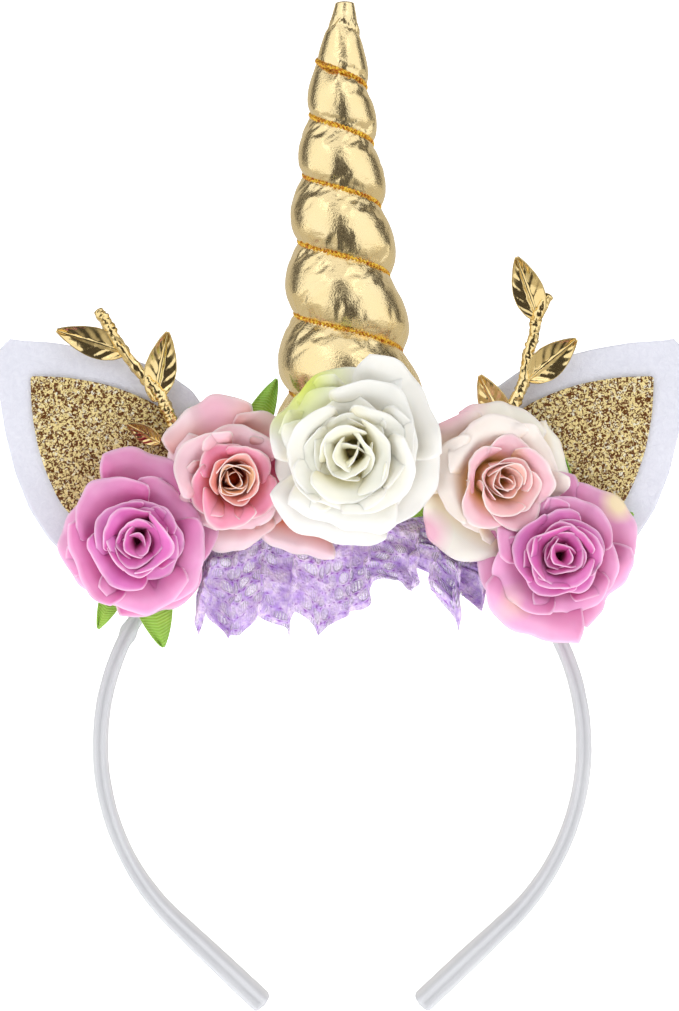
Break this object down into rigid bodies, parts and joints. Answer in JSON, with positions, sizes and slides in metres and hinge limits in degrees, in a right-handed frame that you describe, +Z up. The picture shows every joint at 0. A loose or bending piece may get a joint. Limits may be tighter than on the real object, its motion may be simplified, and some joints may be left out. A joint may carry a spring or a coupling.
{
  "type": "unicorn horn headband",
  "caption": "Satin-wrapped headband carrying a padded gold unicorn horn, felt ears with glitter panels, cloth roses, gold sprigs and a lace frill.",
  "frame": {"origin": "inner top of the band, where it sits on the head", "axes": "+Z up along the horn, -Y the front with the roses, +X to the right seen from the front"},
  "size_m": [0.185, 0.0588, 0.2715],
  "materials": {
    "satin": "satin",
    "gold_cloth": "gloss",
    "gold_cord": "satin",
    "felt": "matte",
    "glitter": "satin",
    "gold_metal": "polished",
    "mauve_petals": "matte",
    "pink_petals": "matte",
    "white_petals": "matte",
    "cream_petals": "matte",
    "green_cloth": "matte",
    "lace": "matte"
  },
  "bodies": {
    "root": {"headband": "satin", "horn": "gold_cloth", "horn_cord": "gold_cord", "ear_left": "felt", "ear_right": "felt", "ear_panel_left": "glitter", "ear_panel_right": "glitter", "sprig_left": "gold_metal", "sprig_right": "gold_metal", "lace_frill": "lace", "green_leaf_1": "green_cloth", "green_leaf_2": "green_cloth", "green_leaf_3": "green_cloth", "green_leaf_4": "green_cloth", "green_leaf_5": "green_cloth", "green_leaf_6": "green_cloth", "green_leaf_7": "green_cloth", "green_leaf_8": "green_cloth", "rose1_outer": "mauve_petals", "rose1_middle": "mauve_petals", "rose1_inner": "mauve_petals", "rose1_bud": "mauve_petals", "rose2_outer": "pink_petals", "rose2_middle": "pink_petals", "rose2_inner": "pink_petals", "rose2_bud": "pink_petals", "rose3_outer": "white_petals", "rose3_middle": "white_petals", "rose3_inner": "white_petals", "rose3_bud": "white_petals", "rose4_outer": "cream_petals", "rose4_middle": "cream_petals", "rose4_inner": "cream_petals", "rose4_bud": "cream_petals", "rose5_outer": "mauve_petals", "rose5_middle": "mauve_petals", "rose5_inner": "mauve_petals", "rose5_bud": "mauve_petals"}
  },
  "joints": []
}
